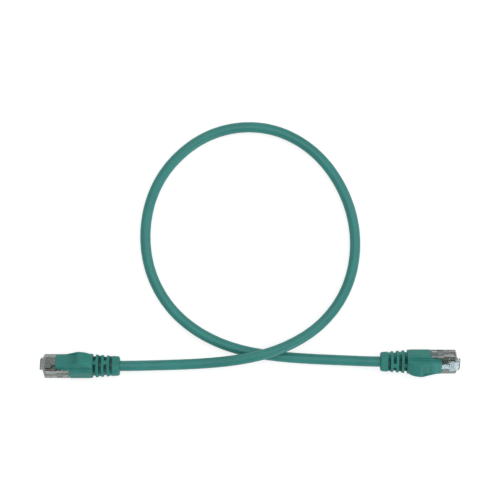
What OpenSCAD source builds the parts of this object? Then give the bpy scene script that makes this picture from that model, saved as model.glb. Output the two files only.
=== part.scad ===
// Ethernet patch cable: a short teal cable with a modular plug and a snagless boot at each end.
// The two plugs lie on a flat surface, rolled about their long axes, and the cable makes one open loop.
// Plug sizes are measured along local x from the tip of the plug's nose, with the latch towards local +z.

/* [Cable] */
// Outside diameter of the cable jacket
jacket_d = 5.8; // [5.6:0.1:6]
// Wall of the cable jacket
jacket_wall = 0.5; // [0.4:0.05:0.55]
// How much lower the jacket is where a plug squeezes it
jacket_squeeze = 0.6; // [0.4:0.05:0.7]
// Outside diameter of one insulated conductor
wire_d = 0.92; // [0.84:0.02:0.96]
// Distance between the two conductors of a pair
pair_pitch = 1; // [0.98:0.01:1.06]
// Thickness of the cross-shaped pair separator
separator_t = 0.3; // [0.2:0.05:0.35]

/* [Plug housing] */
// Width of the plug housing
housing_w = 11.68; // [11.5:0.02:11.8]
// Height of the plug housing without its latch
housing_h = 6.6; // [6.4:0.05:6.9]
// Length of the housing behind its front face
housing_l = 21.5; // [20.8:0.1:22.5]
// Length of the wide front block of the housing
block_l = 14.6; // [14.2:0.1:15]
// How far the neck inside the boot is stepped in at each side
neck_step = 0.64; // [0.5:0.02:0.8]
// How far the neck is stepped in above and below
neck_drop = 0.2; // [0.1:0.02:0.24]
// How far the hinge nose stands ahead of the front face
nose_l = 1.8; // [1.6:0.05:2]
// Width of the hinge nose and of the latch root
nose_w = 6.2; // [5.8:0.1:6.4]
// Chamfer on the front corners of the housing
corner_cut = 1.5; // [0.8:0.1:1.8]
// Front wall between the front face and the wire ends
front_wall = 0.9; // [0.7:0.05:1.1]

/* [Contacts and load bar] */
// Distance between neighbouring contacts
contact_pitch = 1.02; // [1:0.01:1.05]
// Thickness of one contact blade
contact_t = 0.35; // [0.3:0.01:0.4]
// Length of one contact blade along the plug
contact_l = 3.4; // [3:0.1:3.6]
// Depth of the contact edges below the contact face
contact_recess = 0.55; // [0.4:0.05:0.7]
// Height of the staggered conductors over and under their row
row_stagger = 0.35; // [0.3:0.01:0.4]
// Height of the conductor row over the plug's axis
row_z = -0.3; // [-0.5:0.05:0]
// Length of the load bar along the plug
bar_l = 3; // [2.4:0.1:3.4]

/* [Latch] */
// Width of the latch lever
lever_w = 3.25; // [3:0.05:3.5]
// Thickness of the latch lever
lever_t = 0.9; // [0.7:0.05:1]
// Distance from the nose tip to the end of the lever
lever_end = 14.6; // [13.5:0.1:15.2]
// Distance from the nose tip to the latch shoulders
shoulder_x = 6.3; // [6:0.1:6.8]
// Height of the latch shoulders over the lever
shoulder_h = 0.6; // [0.4:0.05:0.8]
// Rise of the resting lever for each millimetre of its length
lever_slope = 0.16; // [0.15:0.005:0.18]
// Gap under the root of the resting lever
root_gap = 0.25; // [0.22:0.01:0.3]
// Radius of the round hinge knuckle in the nose
knuckle_r = 0.6; // [0.5:0.02:0.64]
// Radial clearance of the hinge knuckle
hinge_clear = 0.05; // [0.03:0.01:0.08]

/* [Boot] */
// Distance from the nose tip to the hood's lip on plug A
hood_front_a = 8.8; // [8.4:0.1:11]
// Distance from the nose tip to the hood's lip on plug B
hood_front_b = 10.6; // [8.4:0.1:11]
// Width of the hood over the latch lever
hood_w = 7.6; // [7:0.1:8.2]
// Wall of the hood over the latch lever
hood_wall = 0.7; // [0.5:0.05:1]
// Clearance of the lever inside the hood
hood_clear = 0.3; // [0.25:0.05:0.4]
// Distance from the nose tip to the crest of the thumb bump
bump_x = 22.2; // [21.6:0.1:22.8]
// Height of the thumb bump's crest over the plug's axis
bump_z = 10.2; // [9.4:0.1:10.8]
// Distance from the nose tip to the front edge of the sleeve's sides
sleeve_x = 16.6; // [16.5:0.1:17.2]
// How far the sleeve stands proud of the housing's sides
sleeve_proud = 0.3; // [0.2:0.05:0.5]
// How far the sleeve stands proud of the housing's contact face
sleeve_under = 0.65; // [0.5:0.05:0.8]
// How far the sleeve stands proud of the housing's latch face
sleeve_over = 0.9; // [0.7:0.05:1.1]
// Corner radius of the sleeve
sleeve_r = 1.3; // [0.9:0.1:1.8]
// Distance from the nose tip to the first strain relief slot
slot_x = 29.4; // [29.2:0.1:30]
// Distance between neighbouring strain relief slots
slot_pitch = 3.05; // [2.8:0.05:3.3]
// Width of one strain relief slot
slot_w = 1.5; // [1.2:0.05:1.6]
// Depth of one strain relief slot at the sides
slot_depth = 1.2; // [0.8:0.05:1.4]
// Width of the bridges that join the strain relief ribs
bridge_w = 2.4; // [1.8:0.1:3]
// Width of the strain relief at its first rib
relief_w = 12; // [11.6:0.1:12.4]
// Width of the strain relief at its end ring
relief_end_w = 10.6; // [10:0.1:11]
// Height of the strain relief at its first rib
relief_h = 8.8; // [8.4:0.1:9]
// Height of the strain relief at its end ring
relief_end_h = 8.4; // [8:0.1:8.6]
// Distance from the nose tip to the end of the boot
boot_end = 44.2; // [43:0.1:46]
// Clearance between the boot and what it is pushed onto
boot_fit = 0.05; // [0.03:0.01:0.08]

/* [Lie of the cable] */
// Distance from the middle of the cable to each nose tip
half_span = 116.5; // [115:0.5:118]
// Sideways distance from the middle line to each plug's axis
plug_y = 1.2; // [0.8:0.1:1.6]
// Roll of each plug about its long axis
plug_roll = 30; // [26:1:34]

/* [Hidden] */
// Round surfaces
$fn = 48;
// Overshoot of cutting shapes past a face
cut = 1;
// Sliding clearance of the small pieces inside a housing
inner_fit = 0.05;
// Clearance between the conductors and the jacket's bore
bundle_gap = 0.08;

// The cable's cross-section
tube_sides = 12;
wire_sides = 6;
jacket_r = jacket_d / 2;
core_r = jacket_r - jacket_wall;
wire_r = wire_d / 2;
squeeze_share = jacket_squeeze / jacket_d;
pair_offset = core_r * (1 - squeeze_share) * cos(180 / tube_sides) - wire_r - bundle_gap;
separator_r = core_r * (1 - squeeze_share) - bundle_gap;

// The housing along the plug
front_x = nose_l;
block_end = front_x + block_l;
housing_end = front_x + housing_l;
top_z = housing_h / 2;
neck_w = housing_w - 2 * neck_step;
neck_h = housing_h - 2 * neck_drop;
wire_tip = front_x + front_wall;
contact_x = wire_tip;
bar_x = contact_x + contact_l + 2 * inner_fit;
bar_end = bar_x + bar_l;
contact_count = 8;
row_w = contact_count * contact_pitch;
bar_wall = 0.25;
bore_clear = 0.03;
bar_z0 = row_z - row_stagger - wire_r - bar_wall;
bar_z1 = row_z + row_stagger + wire_r + bar_wall;
hall_w = row_w + 2 * bar_wall;
hall_h = jacket_d - jacket_squeeze + 2 * inner_fit;

// The fan of conductors between the load bar and the jacket
fan_l = 1.3;
fan_x = bar_end + fan_l;
jacket_x = fan_x + fan_l;
round_l = 3.2;
round_x = housing_end + round_l;

// The latch
nose_back = 0.2;
nose_under = 0.5;
nose_lip = 0.25;
hinge_depth = 0.95;
hinge_x = nose_l - knuckle_r - hinge_clear - nose_back;
hinge_z = top_z - hinge_depth;
nose_z0 = hinge_z - knuckle_r - hinge_clear - nose_under;
nose_z1 = hinge_z + nose_lip;
web_t = 0.7;
tip_bevel = 0.25;
ramp_l = 1.6;
lever_x = front_x + nose_back;

// The boot
boot_floor = top_z + boot_fit;
sleeve_hw = housing_w / 2 + sleeve_proud;
sleeve_z0 = -top_z - sleeve_under;
sleeve_z1 = top_z + sleeve_over;
slot_count = 4;
corner_steps = 6;
hood_r = 0.9;
skirt_start = 1.5;
skirt_end = sleeve_x + 1.4;
lip_drop = 0.25;
relief_hw = relief_w / 2;
relief_hh = relief_h / 2;
relief_r = 2.8;
shoulder_r = (sleeve_r + relief_r) / 2;
shoulder_hw = (sleeve_hw + relief_hw) / 2;
end_hw = relief_end_w / 2;
end_hh = relief_end_h / 2;
end_r = 3.6;
end_round = 0.6;
shoulder_l = 2.4;
skirt_lap = 2;
// Where the bump ends at the first slot: share of its height over the sleeve, corner radius
tail_share = 0.4;
tail_r = 1.8;
// Along x from the crest, share of the bump's height, extra half width, corner radius
bump_profile = [
    [-9.3, 0, 0, 0.9],
    [-4.6, 0.5, 0.2, 1.1],
    [0, 1, 0.4, 1.4],
    [2, 0.91, 0.4, 1.6],
    [4.2, 0.68, 0.4, 1.8],
    [6, 0.28, 0.3, 2]
];
// The floor of the thumb scoop in the ramp: along x from the crest, share of the bump's height
scoop_profile = [
    [-9, 0.04],
    [-6.6, 0.15],
    [-4.8, 0.19],
    [-3.2, 0.34],
    [-1.8, 0.58],
    [-0.7, 0.86],
    [-0.3, 0.975]
];
cheek_t = 0.75;
// Along x, half width, lowest z, highest z and corner radius of the sleeve and the strain relief
sleeve_sections = [
    [sleeve_x, sleeve_hw, sleeve_z0, sleeve_z1, sleeve_r],
    [slot_x - shoulder_l, sleeve_hw, sleeve_z0, sleeve_z1, sleeve_r],
    [slot_x, shoulder_hw, (sleeve_z0 - relief_hh) / 2, (sleeve_z1 + relief_hh) / 2, shoulder_r],
    [slot_x + slot_w, relief_hw, -relief_hh, relief_hh, relief_r],
    [boot_end - end_round, end_hw, -end_hh, end_hh, end_r],
    [boot_end, end_hw - end_round, end_round - end_hh, end_hh - end_round, end_r - end_round]
];

// Each plug lies on the lowest corner of its sleeve
function section_drop(s) =
    (s[1] - s[4]) * sin(plug_roll) + (-s[2] - s[4]) * cos(plug_roll) + s[4];
axis_z = max([for (s = sleeve_sections) section_drop(s)]);

// The cable's route from boot to boot: x, y and lift over the surface it lies on
route = [
    [-62, -1.1, 2.8],
    [-48, -0.8, 2.1],
    [-34, -0.3, 2.3],
    [-22, 0.5, 3.4],
    [-11, 1.7, 4.95],
    [-0.9, 3.4, 6.1],
    [8, 5.5, 6.45],
    [16.9, 8.5, 5.9],
    [27.1, 13.3, 4.3],
    [36.1, 19.2, 2.5],
    [44, 26.7, 1.05],
    [50.8, 36.2, 0.3],
    [56, 48.4, 0.05],
    [58.4, 61.9, 0.05],
    [57.9, 76, 0.05],
    [54.5, 89.5, 0.05],
    [48.2, 102.6, 0.05],
    [39, 114.5, 0.05],
    [27.4, 123.7, 0.05],
    [14, 129.6, 0.05],
    [0, 131.6, 0.05],
    [-14, 129.9, 0.05],
    [-27, 124.8, 0.05],
    [-38.6, 116.4, 0.05],
    [-48, 105.6, 0.05],
    [-54.4, 93, 0.05],
    [-57.7, 79.5, 0.05],
    [-58.1, 65.5, 0.05],
    [-55.4, 51.5, 0.05],
    [-49.4, 38.3, 0.05],
    [-40.6, 27, 0.05],
    [-29.4, 18, 0.05],
    [-16.5, 11.3, 0.05],
    [-3, 7, 0.05],
    [11, 4.5, 0.05],
    [25, 3.1, 0.1],
    [39, 2.3, 0.5],
    [52, 1.8, 1.5],
    [63, 1.4, 2.5]
];
over_strand = [3, 8];
under_strand = [31, 36];

// A point on a plug's axis, x behind its nose tip
function on_axis(p, x) = p == 0
    ? [x - half_span, -plug_y, axis_z]
    : [half_span - x, plug_y, axis_z];

// The stations of the cable: inside boot A, along the route, inside boot B
inside = [jacket_x, housing_end + inner_fit, round_x, boot_end];
inside_squeeze = [1, 1, 0, 0];
inside_last = len(inside) - 1;
spine = concat(
    [for (x = inside) on_axis(0, x)],
    [for (q = route) [q[0], q[1], q[2] + jacket_r]],
    [for (k = [inside_last:-1:0]) on_axis(1, inside[k])]
);
spine_last = len(spine) - 1;
function spine_squeeze(i) = let (k = min(i, spine_last - i)) k > inside_last ? 0 : inside_squeeze[k];

// The bundle turns from the roll of plug A to the roll of plug B, upside down, so that like pins are joined
turn_start = plug_roll;
turn_end = 180 - plug_roll;
function spine_turn(i) = let (k = max(0, min(1, (i - inside_last) / (spine_last - 2 * inside_last))))
    turn_start + (turn_end - turn_start) * k;

// A station: its centre, then the sideways and upward unit vectors of its cross-section
function unit(v) = v / norm(v);
function frame(centre, along, turn) = let (
    left = unit(cross([0, 0, 1], along)),
    up = cross(along, left)
) [centre, cos(turn) * left - sin(turn) * up, cos(turn) * up + sin(turn) * left];
function spine_frame(i) = let (
    before = spine[max(0, i - 1)],
    after = spine[min(spine_last, i + 1)]
) frame(spine[i], unit(after - before), spine_turn(i));
function at(f, a, b) = f[0] + f[1] * a + f[2] * b;

// Rings of points round a station
function tube_ring(i, r) = let (f = spine_frame(i), q = spine_squeeze(i) * squeeze_share)
    [for (k = [0:tube_sides - 1]) let (t = 360 * k / tube_sides)
        at(f, r * (1 + q) * cos(t), r * (1 - q) * sin(t))];
function cross_ring(i) = let (f = spine_frame(i), h = separator_t / 2)
    [for (k = [0:3], q = [[separator_r, -h], [separator_r, h], [h, h]])
        let (t = 90 * k + 45, u = q[0], v = q[1])
            at(f, u * cos(t) - v * sin(t), u * sin(t) + v * cos(t))];

// Where conductor w sits in the bundle, and where in the staggered row of a plug
half_pair = pair_pitch / 2;
bundle = [
    [pair_offset, half_pair],
    [pair_offset, -half_pair],
    [half_pair, -pair_offset],
    [half_pair, pair_offset],
    [-half_pair, pair_offset],
    [-half_pair, -pair_offset],
    [-pair_offset, half_pair],
    [-pair_offset, -half_pair]
];
function pin_y(w) = ((contact_count - 1) / 2 - w) * contact_pitch;
function pin_z(w) = row_z + (w % 2 == 0 ? row_stagger : -row_stagger);
function wire_ring(f, c) = [for (k = [0:wire_sides - 1]) let (t = 360 * k / wire_sides)
    at(f, c[0] + wire_r * cos(t), c[1] + wire_r * sin(t))];
function plug_frame(p, x) = frame(on_axis(p, x), [1, 0, 0], p == 0 ? turn_start : turn_end);
function row_spot(p, w) = [pin_y(w), p == 0 ? pin_z(w) : -pin_z(w)];
function fan_spot(w) = [pin_y(w), bundle[w][1]];
function wire_rings(w) = concat(
    [wire_ring(plug_frame(0, wire_tip + inner_fit), row_spot(0, w))],
    [wire_ring(plug_frame(0, bar_end), row_spot(0, w))],
    [wire_ring(plug_frame(0, fan_x), fan_spot(w))],
    [for (i = [0:spine_last]) wire_ring(spine_frame(i), bundle[w])],
    [wire_ring(plug_frame(1, fan_x), fan_spot(w))],
    [wire_ring(plug_frame(1, bar_end), row_spot(1, w))],
    [wire_ring(plug_frame(1, wire_tip + inner_fit), row_spot(1, w))]
);

// The least gap between the two strands where the cable passes over itself
function strand(ends) = [for (i = [ends[0]:ends[1] - 1], f = [0:0.1:0.9])
    let (k = i + inside_last + 1) spine[k] * (1 - f) + spine[k + 1] * f];
self_gap = min([for (a = strand(over_strand), b = strand(under_strand)) norm(a - b)]) - jacket_d;
function length_to(i) = i == 0 ? 0 : length_to(i - 1) + norm(spine[i] - spine[i - 1]);
cord_length = length_to(spine_last - inside_last) - length_to(inside_last);
echo(self_gap = self_gap, cord_length = cord_length, axis_z = axis_z);

// A solid through rings of points, closed by its end rings or by joining the last ring to the first
module skin(rings, looped = false) {
    sides = len(rings[0]);
    count = len(rings);
    spans = looped ? count : count - 1;
    walls = [for (i = [0:spans - 1], j = [0:sides - 1]) let (
        a = i * sides + j,
        b = i * sides + (j + 1) % sides,
        c = (i + 1) % count * sides + (j + 1) % sides,
        d = (i + 1) % count * sides + j
    ) each [[a, d, c], [a, c, b]]];
    caps = looped ? [] : [
        [for (j = [0:sides - 1]) j],
        [for (j = [sides - 1:-1:0]) (count - 1) * sides + j]
    ];
    polyhedron([for (r = rings) each r], concat(walls, caps), convexity = 8);
}

// A cross-section with four round corners, and one with a flat bottom and two round corners
function round_section(x, hw, z0, z1, r) = [for (k = [0:3], s = [0:corner_steps]) let (
    t = 90 * k + 90 * s / corner_steps,
    y = (k == 0 || k == 3) ? hw - r : r - hw,
    z = k < 2 ? z1 - r : z0 + r
) [x, y + r * cos(t), z + r * sin(t)]];
function hood_section(x, hw, z1, r) = concat(
    [[x, hw, boot_floor]],
    [for (k = [0:1], s = [0:corner_steps]) let (
        t = 90 * k + 90 * s / corner_steps,
        y = k == 0 ? hw - r : r - hw
    ) [x, y + r * cos(t), z1 - r + r * sin(t)]],
    [[x, -hw, boot_floor]]
);

// A box between two corners, and a side profile in x and z given a width across the plug
module block(low, high) translate(low) cube(high - low);
module profile(points, width)
    translate([0, width / 2, 0])
        rotate([90, 0, 0])
            linear_extrude(width)
                polygon(points);
module across(x, z, r, width)
    translate([x, width / 2, z])
        rotate([90, 0, 0])
            cylinder(r = r, h = width);

// Puts a plug's piece at plug A, or turned half round at plug B
module place(p)
    rotate([0, 0, 180 * p])
        translate([-half_span, -plug_y, axis_z])
            rotate([-plug_roll, 0, 0])
                children();

// The jacket's squeezed section: a flat slot with round ends
module jacket_slot(length, gap) {
    h = jacket_d - jacket_squeeze + 2 * gap;
    w = jacket_d + jacket_squeeze + 2 * gap;
    rotate([90, 0, 90]) linear_extrude(length) {
        square([w - h, h], center = true);
        for (s = [-1, 1]) translate([s * (w - h) / 2, 0]) circle(d = h);
    }
}

// The underside of the resting lever
function lever_z(x) = top_z + root_gap + lever_slope * (x - lever_x);
function roof_z(x) = lever_z(x) + lever_t + hood_clear;

module housing() color([0.82, 0.86, 0.86, 0.5]) difference() {
    union() {
        translate([0, 0, -top_z]) linear_extrude(housing_h) polygon([
            [front_x, corner_cut - housing_w / 2],
            [front_x + corner_cut / 2, -housing_w / 2],
            [block_end, -housing_w / 2],
            [block_end, housing_w / 2],
            [front_x + corner_cut / 2, housing_w / 2],
            [front_x, housing_w / 2 - corner_cut]
        ]);
        block([block_end - cut, -neck_w / 2, -neck_h / 2], [housing_end, neck_w / 2, neck_h / 2]);
        block([0, -nose_w / 2, nose_z0], [front_x + cut, nose_w / 2, nose_z1]);
    }
    across(hinge_x, hinge_z, knuckle_r + hinge_clear, nose_w + 2 * cut);
    wire_channel();
    block(
        [bar_x - inner_fit, -hall_w / 2, bar_z0 - inner_fit],
        [bar_end + inner_fit, hall_w / 2, bar_z1 + inner_fit]
    );
    block([bar_end, -hall_w / 2, -hall_h / 2], [jacket_x, hall_w / 2, hall_h / 2]);
    translate([jacket_x - cut, 0, 0]) jacket_slot(housing_end - jacket_x + 2 * cut, inner_fit);
    for (w = [0:contact_count - 1]) contact_slot(w);
    clamp_window();
}

// The flat room for the conductor tips over the contacts
module wire_channel()
    block(
        [wire_tip, -row_w / 2, row_z - row_stagger - wire_r - inner_fit],
        [bar_x, row_w / 2, row_z + row_stagger + wire_r + inner_fit]
    );

// A slot for one blade, open along the contact face and through the lower front edge
module contact_slot(w) {
    half = contact_t / 2 + inner_fit;
    y = pin_y(w);
    block(
        [contact_x, y - half, -top_z - cut],
        [contact_x + contact_l + inner_fit, y + half, row_z]
    );
    block(
        [front_x - cut, y - half, -top_z - cut],
        [contact_x + cut, y + half, contact_recess - top_z + inner_fit]
    );
}

// The window of the jacket clamp, with the clamp bar left standing at its front edge
clamp_l = 3.2;
clamp_w = 6.4;
clamp_slit = 0.5;
clamp_inset = 0.8;
clamp_recess = 0.1;
module clamp_window() {
    x1 = block_end - clamp_inset;
    x0 = x1 - clamp_l;
    difference() {
        block([x0, -clamp_w / 2, -top_z - cut], [x1, clamp_w / 2, -hall_h / 2 + cut]);
        block(
            [x0 - cut, clamp_slit - clamp_w / 2, clamp_recess - top_z],
            [x1 - clamp_slit, clamp_w / 2 - clamp_slit, 0]
        );
    }
}

// A gold blade with a round lower front corner and three piercing tines
module contact(w) color("gold") {
    z0 = contact_recess - top_z;
    z1 = pin_z(w) - wire_r - inner_fit;
    tine_h = 0.6;
    r = 0.45;
    x1 = contact_x + contact_l - inner_fit;
    x0 = contact_x + inner_fit;
    step = (x1 - x0) / 6;
    translate([0, pin_y(w), 0]) {
        profile(concat(
            [[x0 + r, z0], [x1, z0], [x1, z1 - tine_h]],
            [for (k = [2:-1:0]) each [[x0 + (2 * k + 1) * step, z1], [x0 + 2 * k * step, z1 - tine_h]]],
            [[x0, z0 + r]]
        ), contact_t);
        across(x0 + r, z0 + r, r, contact_t);
    }
}

// The comb that holds the conductors in their staggered row
module load_bar() color([0.9, 0.92, 0.9, 0.6]) difference() {
    block([bar_x, inner_fit - hall_w / 2, bar_z0], [bar_end, hall_w / 2 - inner_fit, bar_z1]);
    for (w = [0:contact_count - 1]) translate([bar_x - cut, pin_y(w), pin_z(w)])
        rotate([0, 90, 0]) cylinder(r = wire_r + bore_clear, h = bar_l + 2 * cut);
}

// The latch: a round knuckle in the nose, a wide root up to the shoulders and a narrow lever
module latch() color([0.8, 0.88, 0.9, 0.6]) {
    ramp_x = front_x + ramp_l;
    across(hinge_x, hinge_z, knuckle_r, nose_w);
    profile([
        [hinge_x - web_t / 2, hinge_z],
        [hinge_x + web_t / 2, hinge_z],
        [hinge_x + web_t / 2, lever_z(hinge_x + web_t / 2)],
        [shoulder_x, lever_z(shoulder_x)],
        [shoulder_x, lever_z(shoulder_x) + lever_t + shoulder_h],
        [ramp_x, lever_z(ramp_x) + lever_t],
        [hinge_x, lever_z(hinge_x) + lever_t],
        [hinge_x - web_t / 2, lever_z(hinge_x) + lever_t - web_t / 2]
    ], nose_w);
    profile([
        [ramp_x, lever_z(ramp_x)],
        [lever_end - tip_bevel, lever_z(lever_end - tip_bevel)],
        [lever_end, lever_z(lever_end) + tip_bevel],
        [lever_end, lever_z(lever_end) + lever_t - tip_bevel],
        [lever_end - tip_bevel, lever_z(lever_end - tip_bevel) + lever_t],
        [ramp_x, lever_z(ramp_x) + lever_t]
    ], lever_w);
}

// The moulded boot: a sleeve and a slotted strain relief, with the hood, its skirt and the scooped thumb bump
module boot(hood_front) color("#387e74") difference() {
    union() {
        skin([for (s = sleeve_sections) round_section(s[0], s[1], s[2], s[3], s[4])]);
        skin(hood_rings(hood_front));
        translate([0, 0, boot_floor]) linear_extrude(sleeve_z1 - boot_floor) polygon([
            [hood_front + skirt_start, -hood_w / 2],
            [skirt_end, sleeve_r - sleeve_hw],
            [skirt_end + skirt_lap, sleeve_r - sleeve_hw],
            [skirt_end + skirt_lap, sleeve_hw - sleeve_r],
            [skirt_end, sleeve_hw - sleeve_r],
            [hood_front + skirt_start, hood_w / 2]
        ]);
    }
    scoop();
    lever_room(hood_front);
    block(
        [sleeve_x - cut, -neck_w / 2 - boot_fit, -neck_h / 2 - boot_fit],
        [housing_end + boot_fit, neck_w / 2 + boot_fit, neck_h / 2 + boot_fit]
    );
    translate([housing_end - cut, 0, 0]) jacket_room();
    translate([round_x - cut, 0, 0])
        rotate([0, 90, 0])
            cylinder(r = jacket_r + boot_fit, h = boot_end - round_x + 2 * cut);
    for (k = [0:slot_count - 1]) relief_slot(k);
}

// The hood rises with the lever, then ramps up to the bump's crest and falls away behind it
function hood_top(x) = roof_z(x) + hood_wall;
bump_base = hood_top(bump_x + bump_profile[0][0]);
function bump_height(share) = bump_base + (bump_z - bump_base) * share;
function hood_rings(hood_front) = concat(
    [hood_section(hood_front, hood_w / 2 - lip_drop, hood_top(hood_front) - lip_drop, hood_r - lip_drop)],
    [hood_section(hood_front + 2 * lip_drop, hood_w / 2, hood_top(hood_front + 2 * lip_drop), hood_r)],
    [for (q = bump_profile) hood_section(bump_x + q[0], hood_w / 2 + q[2], bump_height(q[1]), q[3])],
    [hood_section(slot_x, hood_w / 2, sleeve_z1 + (bump_z - sleeve_z1) * tail_share, tail_r)]
);

// The hollow for the thumb in the ramp, with a cheek left standing at each side
module scoop()
    profile(concat(
        [for (q = scoop_profile) [bump_x + q[0], bump_height(q[1])]],
        [[bump_x, bump_z + cut], [bump_x + scoop_profile[0][0], bump_z + cut]]
    ), hood_w - 2 * cheek_t);

// The room under the hood in which the lever moves
module lever_room(hood_front) {
    x0 = hood_front - cut;
    x1 = lever_end + 2 * hood_clear;
    profile([[x0, 0], [x1, 0], [x1, roof_z(x1)], [x0, roof_z(x0)]], lever_w + 2 * hood_clear);
}

// The room behind the housing where the squeezed jacket becomes round again
module jacket_room() {
    w = jacket_d + jacket_squeeze + 2 * inner_fit;
    h = jacket_d + 2 * inner_fit;
    rotate([90, 0, 90]) linear_extrude(round_x - housing_end + cut + boot_fit) {
        square([w - h, h], center = true);
        for (s = [-1, 1]) translate([s * (w - h) / 2, 0]) circle(d = h);
    }
}

// The core that the strain relief's slots leave at both sides of the cable, so flat that they open onto it
core_drop = 0.35;
module relief_core() {
    h = jacket_r - core_drop;
    skin([for (s = sleeve_sections) if (s[0] > slot_x - shoulder_l - cut)
        round_section(s[0], s[1] - slot_depth, -h, h, h / 2)]);
}

// One slot round the strain relief, bridged on the flat faces and at the sides by turns
module relief_slot(k) {
    reach = 2 * housing_w;
    x = slot_x + k * slot_pitch;
    flat = k % 2 == 0;
    difference() {
        block([x, -reach, -reach], [x + slot_w, reach, reach]);
        relief_core();
        block(
            [x - cut, flat ? -bridge_w / 2 : -reach - cut, flat ? -reach - cut : -bridge_w / 2],
            [x + slot_w + cut, flat ? bridge_w / 2 : reach + cut, flat ? reach + cut : bridge_w / 2]
        );
    }
}

module cable_jacket() color("#43827c")
    skin(concat(
        [for (i = [0:spine_last]) tube_ring(i, jacket_r)],
        [for (i = [spine_last:-1:0]) tube_ring(i, core_r)]
    ), looped = true);

module pair_separator() color("white") skin([for (i = [0:spine_last]) cross_ring(i)]);

wire_colours = ["#f4d9bd", "#e8762c", "#cfe6cf", "#2f5fb3", "#cbd9ee", "#2f8f4e", "#e2d0c0", "#7a4a2b"];
module wire(w) color(wire_colours[w]) skin(wire_rings(w));

plugs = ["a", "b"];
hood_fronts = [hood_front_a, hood_front_b];
function plug_node(p, piece) = str("plug_", plugs[p], "_", piece);
function contact_node(p, w) = plug_node(p, str("contact_", w + 1));
function wire_node(w) = str("wire_", w + 1);

for (p = [0, 1]) {
    place(p) housing();
    place(p) latch();
    place(p) load_bar();
    place(p) boot(hood_fronts[p]);
    for (w = [0:contact_count - 1])
        place(p) contact(w);
}
cable_jacket();
pair_separator();
for (w = [0:contact_count - 1])
    wire(w);
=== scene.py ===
# Ethernet patch cable: a teal cable in one open loop, with a clear plug and a moulded boot at each end
import bmesh
import bpy
import numpy as np
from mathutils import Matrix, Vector


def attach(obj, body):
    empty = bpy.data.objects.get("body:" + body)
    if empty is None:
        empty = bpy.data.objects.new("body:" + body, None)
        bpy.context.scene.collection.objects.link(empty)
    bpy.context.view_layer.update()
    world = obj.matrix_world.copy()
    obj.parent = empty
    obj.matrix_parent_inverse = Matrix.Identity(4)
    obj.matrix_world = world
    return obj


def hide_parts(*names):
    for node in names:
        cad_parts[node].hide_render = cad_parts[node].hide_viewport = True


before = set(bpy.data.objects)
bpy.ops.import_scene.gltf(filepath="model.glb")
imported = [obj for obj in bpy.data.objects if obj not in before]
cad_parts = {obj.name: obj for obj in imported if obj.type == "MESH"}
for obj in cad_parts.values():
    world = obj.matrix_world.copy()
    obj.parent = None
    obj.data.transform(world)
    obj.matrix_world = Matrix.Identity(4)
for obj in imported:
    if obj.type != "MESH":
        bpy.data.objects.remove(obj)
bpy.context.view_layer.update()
mm = 0.001
scene = bpy.context.scene
scene.view_settings.view_transform = "Standard"


def linearColour(hexText):  # sRGB hex to the linear colour that a shader takes
    srgb = np.array([int(hexText[i:i + 2], 16) for i in (1, 3, 5)]) / 255
    linear = np.where(srgb <= 0.04045, srgb / 12.92, ((srgb + 0.055) / 1.055) ** 2.4)
    return (*map(float, linear), 1.0)


def addNode(tree, kind, inputs=None, out=0, **settings):  # a node with its settings, values and links
    node = tree.nodes.new(kind)
    for name, value in settings.items():
        setattr(node, name, value)
    for key, value in (inputs or {}).items():
        if isinstance(value, bpy.types.NodeSocket):
            tree.links.new(value, node.inputs[key])
        else:
            node.inputs[key].default_value = value
    return node.outputs[out] if node.outputs else node


def newMaterial(name):  # a material with an empty node tree
    made = bpy.data.materials.new(name)
    made.use_nodes = True
    made.node_tree.nodes.clear()
    return made, made.node_tree


def hermiteThrough(x, xs, ys):  # smooth curve through points that never overshoots them
    xs, ys = np.asarray(xs, float), np.asarray(ys, float)
    step = np.diff(xs)
    slope = np.diff(ys) / step
    same = slope[:-1] * slope[1:] > 0
    mean = 2 * slope[:-1] * slope[1:] / np.where(same, slope[:-1] + slope[1:], 1)
    tangent = np.concatenate([[slope[0]], np.where(same, mean, 0), [slope[-1]]])
    i = np.clip(np.searchsorted(xs, x) - 1, 0, len(step) - 1)
    t = (x - xs[i]) / step[i]
    start = (1 + 2 * t) * (1 - t) ** 2 * ys[i] + t * (1 - t) ** 2 * step[i] * tangent[i]
    return start + t * t * (3 - 2 * t) * ys[i + 1] + t * t * (t - 1) * step[i] * tangent[i + 1]


def splineThrough(points, count, finer=20):
    # a cubic spline with unbroken curvature and straight ends, as points evenly spaced along its length,
    # which is measured in finer steps
    points = np.asarray(points, float)
    knots = np.concatenate([[0], np.cumsum(np.linalg.norm(np.diff(points, axis=0), axis=1))])
    h = np.diff(knots)
    chords = np.diff(points, axis=0) / h[:, None]
    last = len(points) - 1
    matrix = np.zeros((last + 1, last + 1))
    known = np.zeros_like(points)
    inner = np.arange(1, last)
    matrix[inner, inner - 1] = h[:-1]
    matrix[inner, inner] = 2 * (h[:-1] + h[1:])
    matrix[inner, inner + 1] = h[1:]
    known[inner] = 6 * (chords[1:] - chords[:-1])
    matrix[0, 0] = matrix[last, last] = 1
    bend = np.linalg.solve(matrix, known)

    def at(s):
        i = np.clip(np.searchsorted(knots, s) - 1, 0, last - 1)
        a, b, w = (knots[i + 1] - s)[:, None], (s - knots[i])[:, None], h[i][:, None]
        curve = (bend[i] * a ** 3 + bend[i + 1] * b ** 3) / (6 * w)
        return curve + (points[i] / w - bend[i] * w / 6) * a + (points[i + 1] / w - bend[i + 1] * w / 6) * b

    fine = at(np.linspace(0, knots[-1], finer * count))
    run = np.concatenate([[0], np.cumsum(np.linalg.norm(np.diff(fine, axis=0), axis=1))])
    even = np.linspace(0, run[-1], count)
    return np.stack([np.interp(even, run, fine[:, k]) for k in range(3)], axis=1), run[-1]


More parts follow.
